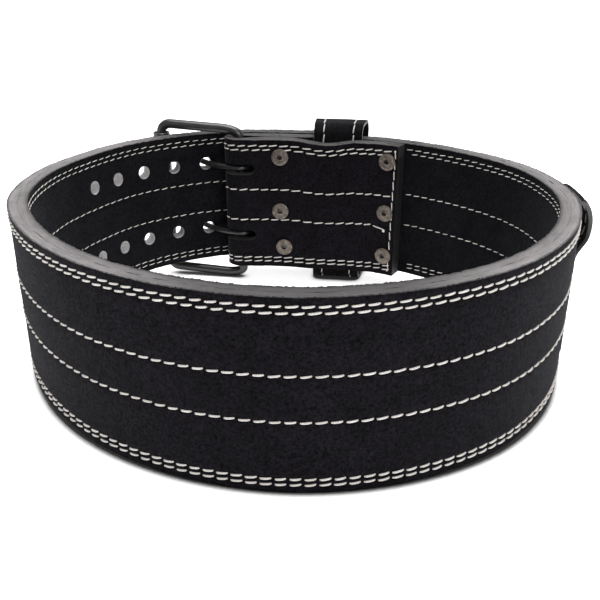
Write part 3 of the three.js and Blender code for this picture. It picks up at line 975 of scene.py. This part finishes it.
def sew(bm, template, middle, direction, level, up=1, stretch=1.0):
    """Adds one stitch: up is 1 on a finish face and -1 on a lining face."""
    made = bmesh.ops.duplicate(bm, geom=template)["geom"]
    angle = math.atan2(direction.y, direction.x) + STITCH_SLANT * up + random.uniform(-0.035, 0.035)
    place = (
        Matrix.Translation((middle.x, middle.y + random.uniform(-0.1, 0.1), level))
        @ Matrix.Rotation(angle, 4, "Z")
        @ Matrix.Rotation(0 if up > 0 else math.pi, 4, "X")
        @ Matrix.Diagonal((stretch * random.uniform(0.94, 1.06), 1, 1, 1))
    )
    for vert in made:
        if isinstance(vert, bmesh.types.BMVert):
            vert.co = place @ vert.co


def thread_sheet(length, diameter):
    """A mesh that holds one stitch, and that stitch as the one to copy."""
    bm = stitch_shape(length, diameter)
    return bm, bm.verts[:] + bm.edges[:] + bm.faces[:]


def finish_thread(bm, stitch, name, place, thread=THREAD):
    """Takes out the stitch that was copied and bends the rest to the leather."""
    bmesh.ops.delete(bm, geom=[v for v in stitch if isinstance(v, bmesh.types.BMVert)], context="VERTS")
    for vert in bm.verts:
        vert.co = place(vert.co)
    finish_piece(bm, name, [thread], None, 80)


def outline_path(inset):
    """Seam that follows the strap's outline from the flap's end, round the tail's tip and back."""
    start = FLAP_END + END_ROW_TOP
    radius = TAIL_TIP_RADIUS - inset
    low = [Vector((at, inset)) for at in spaced(start, TIP_START, 2.0)]
    turn = [
        Vector((TIP_START + radius * math.sin(angle), TAIL_TIP_RADIUS - radius * math.cos(angle)))
        for angle in spaced(0, math.pi / 2, math.radians(6))
    ]
    half = low + turn[1:]
    return half + [Vector((at.x, STRAP_HEIGHT - at.y)) for at in reversed(half)]


def seam_paths():
    middle_end = RIBBON_END - EDGE_ROWS[1] - CHANNEL_BRIM
    start = FLAP_END + END_ROW_BOTTOM
    paths = [outline_path(inset) for inset in EDGE_ROWS]
    paths += [[Vector((at, row)) for at in spaced(start, middle_end, 2.0)] for row in MIDDLE_ROWS]
    return paths


def under_burr(middle):
    along = -(middle.x + FOLD_ARC)
    reach = BURR_DIAMETER / 2
    places = [(row["along"], row["height"] * STRAP_HEIGHT) for row in RIVETS]
    return any(math.hypot(along - at, middle.y - height) < reach for at, height in places)


def past_loose_stitch(middle):
    """The flap's lower middle seam stops short of the flap's end, at a knot."""
    return abs(middle.y - MIDDLE_ROWS[0]) < 1 and middle.x < -(LAST_LOOSE_STITCH + FOLD_ARC)


def on_flap(row):
    return Vector((-(row["along"] + FOLD_ARC), row["height"]))


SIDE_KEEPER_ALONG = (
    find_length(
        lambda a, b: b.x > 0
        and math.atan2(a.y, a.x) > math.radians(SIDE_KEEPER_BEARING) >= math.atan2(b.y, b.x)
    )
    - HEEL_START
)


def under_side_keeper(middle):
    return abs(middle.x - SIDE_KEEPER_ALONG) < SIDE_KEEPER_WIDTH / 2 + 2 and middle.y < 0.66 * STRAP_HEIGHT


def pitch_on_strap(middle):
    return FLAP_STITCH_PITCH if middle.x < 0 else STITCH_PITCH


END_ROW_PITCH = STITCH_PITCH + 0.8
LINING_SEAM_GAP = 3


def strap_stitching():
    """Seams on the finish face, the flap's end row with them, and the same seams on the lining."""
    face, face_stitch = thread_sheet(STITCH_LENGTH, THREAD_DIAMETER)
    flap, flap_stitch = thread_sheet(FLAP_STITCH_LENGTH, FLAP_THREAD)
    lining, lining_stitch = thread_sheet(LINING_STITCH_LENGTH, LINING_THREAD)
    seated = -WAVE_DEPTH - CHANNEL_DEPTH * 0.6
    for path in seam_paths():
        for middle, direction in walk(path, pitch_on_strap):
            if middle.x < 0 and not (under_burr(middle) or past_loose_stitch(middle)):
                sew(flap, flap_stitch, middle, direction, seated)
            if middle.x >= 0 and not under_side_keeper(middle):
                sew(face, face_stitch, middle, direction, seated)
            if middle.x > FLAP_LENGTH + LINING_SEAM_GAP:
                sew(lining, lining_stitch, middle, direction, -STRAP_THICKNESS - seated, -1)
    top = Vector((FLAP_END + END_ROW_TOP, STRAP_HEIGHT - EDGE_ROWS[0]))
    bottom = Vector((FLAP_END + END_ROW_BOTTOM, EDGE_ROWS[0]))
    end_row = [bottom.lerp(top, i / 40) for i in range(41)]
    for middle, direction in walk(end_row, lambda at: END_ROW_PITCH):
        sew(flap, flap_stitch, middle, direction, seated)
    ends = [Vector((-(LAST_LOOSE_STITCH + FOLD_ARC), MIDDLE_ROWS[0])), on_flap(KNOTS[0])]
    span = ends[1] - ends[0]
    stretch = span.length / FLAP_STITCH_LENGTH
    sew(flap, flap_stitch, ends[0].lerp(ends[1], 0.5), span.normalized(), seated, stretch=stretch)
    knots = bmesh.new()
    flattened = Matrix.Diagonal((1, 1, 0.8, 1))
    for row in KNOTS:
        spot = on_flap(row)
        place = Matrix.Translation((spot.x, spot.y, seated + row["radius"] / 2)) @ flattened
        bmesh.ops.create_icosphere(knots, subdivisions=2, radius=row["radius"], matrix=place)
    for vert in knots.verts:
        vert.co = bend(vert.co)
    finish_piece(knots, "flap_knots", [THREAD], None, 80)
    finish_thread(face, face_stitch, "stitching_face", bend)
    finish_thread(flap, flap_stitch, "stitching_flap", bend)
    finish_thread(lining, lining_stitch, "stitching_lining", bend, LINING_THREAD_FINISH)


strap_stitching()


def nap_fuzz():
    """Loose fibres that stand out over the top edges, most of them from the lining."""
    bm = bmesh.new()
    for _ in range(FUZZ_COUNT):
        length = random.uniform(FLAP_END, TIP_START)
        side = random.choice((-1, -1, 1))
        hidden = side < 0 and length < FLAP_LENGTH
        bare = noise.noise(Vector((length / FUZZ_TUFT, side / 3, 0.5))) < -0.2
        if hidden or bare:
            continue
        level = -0.35 if side > 0 else 0.35 - STRAP_THICKNESS
        root = Vector((length, STRAP_HEIGHT - 0.3, level))
        lean = Vector((random.uniform(-0.6, 0.6), random.uniform(0.4, 1.2), side * random.uniform(-0.2, 0.5)))
        tip = root + lean.normalized() * FUZZ_LENGTH * random.uniform(0.3, 1.0)
        half = Vector((FUZZ_WIDTH / 2, 0, 0))
        tuft = (root - half, root + half, tip + half * 0.6, tip - half * 0.6)
        bm.faces.new([bm.verts.new(bend(point)) for point in tuft])
    finish_piece(bm, "edge_fuzz", [LINING], None)


nap_fuzz()


# Keepers


def band_shape(course, along, closed):
    """Maps a flat band (distance along its course, across, level) to the belt's frame."""
    run = running_lengths(course + course[:1] if closed else course)
    count = len(course)
    normals = []
    for i in range(count):
        before = course[(i - 1) % count] if closed else course[max(0, i - 1)]
        after = course[(i + 1) % count] if closed else course[min(count - 1, i + 1)]
        heading = (after - before).normalized()
        normals.append(Vector((heading.y, -heading.x)))

    def place(flat):
        distance = min(max(flat.x, 0.0), run[-1])
        i = min(bisect.bisect_right(run, distance), len(run) - 1) - 1
        share = (distance - run[i]) / (run[i + 1] - run[i])
        after = (i + 1) % count
        point = course[i].lerp(course[after], share)
        normal = normals[i].lerp(normals[after], share).normalized()
        spot = point + normal * flat.z
        return place_at(along + flat.y, spot.x, spot.y)

    return place, run[-1]


KEEPER_GRID_STEP = 1.6
KEEPER_ROUND = 0.6
KEEPER_CHANNEL_FLOOR = 0.5
KEEPER_CHANNEL_BRIM = 1.3
KEEPER_CHANNEL_DEPTH = 0.3
KEEPER_WAVE = 0.12
KEEPER_ROUGHNESS = 0.2
KEEPER_STITCH_SEAT = 0.25


def keeper(name, course, along, width, closed, seed, edge, tone_before_highlight):
    """Suede band with two seams, bent to its course; its edge's tone goes from the given start up to 1 at its
    end: a painted highlight towards that end.
    """
    place, length = band_shape(course, along, closed)
    half = width / 2
    seam = half - KEEPER_SEAM_INSET
    channel = (-KEEPER_CHANNEL_BRIM, -KEEPER_CHANNEL_FLOOR, KEEPER_CHANNEL_FLOOR, KEEPER_CHANNEL_BRIM)
    rows = [-half, -half + 1.2, -half + 3.8, *(-seam + off for off in channel), -5.5, -1.8]
    rows += [-row for row in reversed(rows)]
    low, high = -KEEPER_THICKNESS / 2, KEEPER_THICKNESS / 2
    bm = flat_grid(spaced(0, length, KEEPER_GRID_STEP), rows, lambda at, across: (at, across, low))
    thicken(bm, low, high)
    if closed:
        ends = [f for f in bm.faces if abs(f.normal.x) > 0.9]
        bmesh.ops.delete(bm, geom=ends, context="FACES_ONLY")
    round_edges(bm, high, KEEPER_ROUND, 2)
    round_edges(bm, low, KEEPER_ROUND, 2)
    bm.normal_update()
    for face in bm.faces:
        face.material_index = 0 if abs(face.normal.z) > 0.6 else 1
    # Painted highlight: the edge's tone rises to 1 over the last stretch towards the band's end.
    keep_flat_places(bm, lambda at: mix(tone_before_highlight, 1.0, smooth(length - 26, length - 8, at.x)))
    for vert in bm.verts:
        away = abs(abs(vert.co.y) - seam)
        dent = KEEPER_CHANNEL_DEPTH * (1 - smooth(KEEPER_CHANNEL_FLOOR, KEEPER_CHANNEL_BRIM, away))
        wave = KEEPER_WAVE * noise.noise(Vector((vert.co.x, vert.co.y, seed)) / 9)
        side = 1 if vert.co.z > 0 else -1
        if abs(vert.co.y) < half - 0.7:
            vert.co.z += side * (wave - dent - 0.1)
        vert.co.y += KEEPER_ROUGHNESS * noise.noise(Vector((vert.co.x / 3, vert.co.y, seed + 2)))
    for vert in bm.verts:
        vert.co = place(vert.co)
    if closed:
        bmesh.ops.remove_doubles(bm, verts=bm.verts, dist=0.25)
    finish_piece(bm, name, [KEEPER_SUEDE, edge], [name])

    thread, stitch = thread_sheet(KEEPER_STITCH_LENGTH, FLAP_THREAD)
    for offset in (-seam, seam):
        path = [Vector((at, offset)) for at in spaced(1.0, length - 1.0, 2.0)]
        for middle, direction in walk(path, lambda at: KEEPER_STITCH_PITCH):
            for level, up in ((high - KEEPER_STITCH_SEAT, 1), (low + KEEPER_STITCH_SEAT, -1)):
                if clear_of_leather(place(Vector((middle.x, middle.y, level * 1.5))), along):
                    sew(thread, stitch, middle, direction, level, up)
    finish_thread(thread, stitch, name + "_stitching", place)


# Nearer than this to the strap's edges, or further than this off its face, a keeper's stitch is free
EDGE_CLEARANCE = 4
FACE_CLEARANCE = 2.2


def clear_of_leather(point, along):
    """False where a stitch would be pressed between a keeper and the strap, flap or tail it lies on."""
    if not EDGE_CLEARANCE < point.z < STRAP_HEIGHT - EDGE_CLEARANCE:
        return True
    face, outward = loop_at(along)
    out = (Vector((point.x, point.y)) - face).dot(outward)
    return out > FACE_CLEARANCE or out < -FLAP_FACE - STRAP_THICKNESS


def back_keeper_course():
    half = KEEPER_THICKNESS / 2
    inside = -(STRAP_THICKNESS - KEEPER_PRESS) - PIECE_GAP - half
    outside = TAIL_LIFT + PIECE_GAP + BACK_KEEPER_SLACK + half
    top = STRAP_HEIGHT + BACK_KEEPER_RISE - half
    bottom = -BACK_KEEPER_SAG + half
    turn = BACK_KEEPER_ROUND
    corners = [
        {"out": outside - turn, "height": bottom + turn, "start": -0.5},
        {"out": outside - turn, "height": top - turn, "start": 0.0},
        {"out": inside + turn, "height": top - turn, "start": 0.5},
        {"out": inside + turn, "height": bottom + turn, "start": 1.0},
    ]
    course = []
    for row in corners:
        for i in range(9):
            angle = math.pi * (row["start"] + 0.5 * i / 8)
            out = row["out"] + turn * math.cos(angle)
            course.append(Vector((out, row["height"] + turn * math.sin(angle))))
    return course


def side_keeper_course():
    flat = PIECE_GAP + KEEPER_THICKNESS / 2
    knots = [
        Vector((flat + row["out"] * SIDE_KEEPER_BULGE, row["height"] * STRAP_HEIGHT))
        for row in SIDE_KEEPER_COURSE
    ]
    knots.append(Vector((SIDE_KEEPER_END_OUT, STRAP_HEIGHT * SIDE_KEEPER_TOP)))
    last = len(knots) - 1
    course = []
    for span in range(last):
        before, start, end, after = (knots[min(max(span + k, 0), last)] for k in (-1, 0, 1, 2))
        for i in range(8):
            course.append(hermite(start, end, (end - before) / 2, (after - start) / 2, i / 8))
    return course + [knots[last]]


keeper("keeper_back", back_keeper_course(), BACK_KEEPER_ALONG, KEEPER_WIDTH, True, 2.0, DARK_EDGE, 1.0)
keeper("keeper_side", side_keeper_course(), SIDE_KEEPER_ALONG, SIDE_KEEPER_WIDTH, False, 4.0, HIGHLIT_KEEPER_EDGE, 0.05)


# Buckle

heel_bar = place_at(0, -FOLD_RADIUS)


def find_roller_bar():
    out = ROLLER_DIAMETER / 2 + PIECE_GAP
    near = LOOP_LENGTH - 2 * BAR_SPAN
    far = LOOP_LENGTH - BAR_SPAN / 2
    for _ in range(40):
        along = (near + far) / 2
        if (place_at(along, tail_lift(along) + out) - heel_bar).length > BAR_SPAN:
            near = along
        else:
            far = along
    return place_at(near, tail_lift(near) + out)


roller_bar = find_roller_bar()
span_direction = (roller_bar - heel_bar).normalized()
out_direction = Vector((span_direction.y, -span_direction.x, 0))


def on_buckle(span, out, height):
    point = heel_bar + span_direction * span + out_direction * out
    return Vector((point.x, point.y, height))


def buckle_frame():
    top = STRAP_HEIGHT + FRAME_OVER_TOP
    bottom = -FRAME_UNDER_BOTTOM
    turn = FRAME_CORNER_RADIUS
    slope = FRAME_HEEL_SHOULDER
    drop = FRAME_HEEL_DROP
    corners = [
        {"span": BAR_SPAN - turn, "height": bottom + turn, "reach": turn, "rise": turn, "start": -0.5},
        {"span": BAR_SPAN - turn, "height": top - turn, "reach": turn, "rise": turn, "start": 0.0},
        {"span": slope, "height": top - drop, "reach": slope, "rise": drop, "start": 0.5},
        {"span": slope, "height": bottom + drop, "reach": slope, "rise": drop, "start": 1.0},
    ]
    path = []
    for row in corners:
        for i in range(11):
            angle = math.pi * (row["start"] + 0.5 * i / 10)
            span = row["span"] + row["reach"] * math.cos(angle)
            lean = FRAME_LEAN * (span / BAR_SPAN - 0.5)
            path.append(on_buckle(span, 0, row["height"] + row["rise"] * math.sin(angle) + lean))
    path.append(path[0])
    bm = wire_along(path, [WIRE_DIAMETER / 2] * len(path), 28, True)
    finish_piece(bm, "buckle_frame", [BLACK_WIRE], ["buckle_frame"])


def buckle_roller():
    outer = ROLLER_DIAMETER / 2
    inner = outer - ROLLER_WALL
    low = -FRAME_UNDER_BOTTOM + FRAME_LEAN / 2 + ROLLER_END_GAP
    high = STRAP_HEIGHT + FRAME_OVER_TOP + FRAME_LEAN / 2 - ROLLER_END_GAP
    lip = 0.3
    profile = [
        (inner, low),
        (outer - lip, low),
        (outer, low + lip),
        (outer, high - lip),
        (outer - lip, high),
        (inner, high),
    ]
    bm = turned(profile, 40, Matrix.Translation((roller_bar.x, roller_bar.y, 0)))
    for face in bm.faces:
        middle = face.calc_center_median() - Vector((roller_bar.x, roller_bar.y, 0))
        bare = math.hypot(middle.x, middle.y) < outer - lip * 0.9 or not low < middle.z < high
        face.material_index = 1 if bare else 0
    finish_piece(bm, "buckle_roller", [BLACK_WIRE, BRASS], ["buckle_roller"])


def prong(name, height):
    """Eye round the heel bar, a run to its hole, and the tip over the roller."""
    wire = PRONG_DIAMETER / 2
    eye = WIRE_DIAMETER / 2 + FOLD_CLEARANCE + wire
    hole = LOOP_LENGTH - PRONG_HOLE_OFFSET
    lift = tail_lift(hole)
    knots = []
    for i in range(10):
        angle = -2 * math.pi + EYE_TURN * i / 9
        knots.append(on_buckle(eye * math.cos(angle), eye * math.sin(angle), height))
    outer = ROLLER_DIAMETER / 2 + PIECE_GAP + wire
    knots.append(place_at(hole + 4, lift - STRAP_THICKNESS - 3, height))
    knots.append(place_at(hole, lift - STRAP_THICKNESS / 2, height))
    knots.append(place_at(hole - 4, lift + 3, height))
    knots.append(on_buckle(BAR_SPAN, outer, height))
    knots.append(on_buckle(BAR_SPAN + PRONG_OVER_ROLLER, outer - 0.5, height))
    path = []
    for span in range(len(knots) - 1):
        path += [open_curve(knots, span, i / 8) for i in range(8)]
    path.append(knots[-1])
    run = running_lengths(path)
    radii = [wire * math.sqrt(max(0.09, 1 - max(0.0, 1 - (run[-1] - at) / wire) ** 2)) for at in run]
    bm = wire_along(path, radii, 20)
    finish_piece(bm, name, [BLACK_WIRE], [name])


def open_curve(knots, span, share):
    """Place on an open curve through knots, mirrored past its ends."""
    start, end = knots[span], knots[span + 1]
    before = knots[span - 1] if span else start * 2 - end
    after = knots[span + 2] if span + 2 < len(knots) else end * 2 - start
    return between_knots(before, start, end, after, share)


buckle_frame()
buckle_roller()
prong("prong_upper", UPPER_ROW)
prong("prong_lower", LOWER_ROW)


# Rivets


def rivet(row):
    """Domed head outside, and inside a burr with the shank's rolled end in it."""
    along = row["along"]
    span = FLAP_FACE + KEEPER_SWELL * keeper_share(along)
    shank = RIVET_SHANK_DIAMETER / 2
    head = RIVET_HEAD_DIAMETER / 2
    burr = BURR_DIAMETER / 2
    eye = BURR_EYE_DIAMETER / 2
    under = -span - PIECE_GAP
    top = under - BURR_THICKNESS
    profile = [
        (0, top + BURR_EYE_DEPTH),
        (eye * 0.8, top + BURR_EYE_DEPTH),
        (eye, top + 0.4),
        (eye + 0.35, top),
        (eye + 0.9, top + 0.1),
        (eye + 1.25, top + 0.45),
        (burr * 0.7, top + 0.35),
        (burr - 0.5, top + 0.45),
        (burr, top + 0.85),
        (burr, under),
        (shank, under),
        (shank, PIECE_GAP),
        (head, PIECE_GAP),
        (head, PIECE_GAP + RIVET_HEAD_THICKNESS * 0.3),
        (head * 0.85, PIECE_GAP + RIVET_HEAD_THICKNESS * 0.75),
        (head * 0.45, PIECE_GAP + RIVET_HEAD_THICKNESS),
        (0, PIECE_GAP + RIVET_HEAD_THICKNESS),
    ]
    point, outward = loop_at(along)
    axis = Vector((outward.x, outward.y, 0))
    turn = Vector((0, 0, 1)).rotation_difference(axis).to_matrix().to_4x4()
    place = Matrix.Translation((point.x, point.y, row["height"] * STRAP_HEIGHT)) @ turn
    bm = turned(profile, 32, place)
    # Painted shade: the burr's eye and the rolled shank end in it take the black finish.
    for face in bm.faces:
        spot = place.inverted() @ face.calc_center_median()
        face.material_index = 1 if math.hypot(spot.x, spot.y) < eye + 0.45 and spot.z < 0 else 0
    finish_piece(bm, row["name"], [BRASS, BLACK_WIRE], [row["name"]])


for row in RIVETS:
    rivet(row)


# Floor, light and camera


SHADOW_REACH = 0.010
FLOOR_SHADES = [(0.54, grey(0.02)), (0.66, grey(0.55)), (0.86, grey(0.95))]


def floor():
    bm = bmesh.new()
    bmesh.ops.create_grid(bm, x_segments=1, y_segments=1, size=40.0)
    mesh = bpy.data.meshes.new("floor")
    bm.to_mesh(mesh)
    bm.free()
    material = new_material("floor")
    reach = {"Distance": SHADOW_REACH}
    # Painted contact shadows: ambient occlusion darkens the floor's colour and its glow near the belt, and
    # the glow keeps the rest white.
    open_share = add_node(material, "ShaderNodeAmbientOcclusion", reach, samples=16).outputs["AO"]
    shade = ramp(material, open_share, FLOOR_SHADES)
    lit = {"Base Color": shade, "Roughness": 0.8, "Emission Color": shade, "Emission Strength": 0.75}
    mesh.materials.append(surface(material, lit))
    sheet = bpy.data.objects.new("floor", mesh)
    bpy.context.scene.collection.objects.link(sheet)


def soft_light(name, place, target, size, power):
    data = bpy.data.lights.new(name, "AREA")
    data.shape = "DISK"
    data.size = size
    data.energy = power
    lamp = bpy.data.objects.new(name, data)
    lamp.location = place
    lamp.rotation_euler = (Vector(target) - Vector(place)).to_track_quat("-Z", "Y").to_euler()
    bpy.context.scene.collection.objects.link(lamp)


def sky(seen, cast):
    """White all round: one strength where the camera sees it, another for the light that it casts."""
    world = bpy.data.worlds.new("studio")
    world.use_nodes = True
    nodes = world.node_tree.nodes
    background = nodes["Background"]
    background.inputs["Color"].default_value = (1, 1, 1, 1)
    path = nodes.new("ShaderNodeLightPath")
    strength = nodes.new("ShaderNodeMapRange")
    strength.inputs["To Min"].default_value = cast
    strength.inputs["To Max"].default_value = seen
    world.node_tree.links.new(path.outputs["Is Camera Ray"], strength.inputs["Value"])
    world.node_tree.links.new(strength.outputs[0], background.inputs["Strength"])
    bpy.context.scene.world = world


floor()
sky(1.3, 0.6)
soft_light("overhead", (0.0, 0.1, 1.5), (0, 0, 0), 1.1, 30)
soft_light("front", (0.6, -1.6, 0.9), (0, 0, 0.05), 0.8, 14)

camera_data = bpy.data.cameras.new("camera")
camera_data.lens = CAMERA_LENS
camera_data.sensor_width = 36
camera = bpy.data.objects.new("camera", camera_data)
camera.location = CAMERA_AT
camera.rotation_euler = (math.pi / 2 - CAMERA_PITCH, 0, 0)
bpy.context.scene.collection.objects.link(camera)
bpy.context.scene.camera = camera
bpy.context.scene.view_settings.view_transform = "Standard"
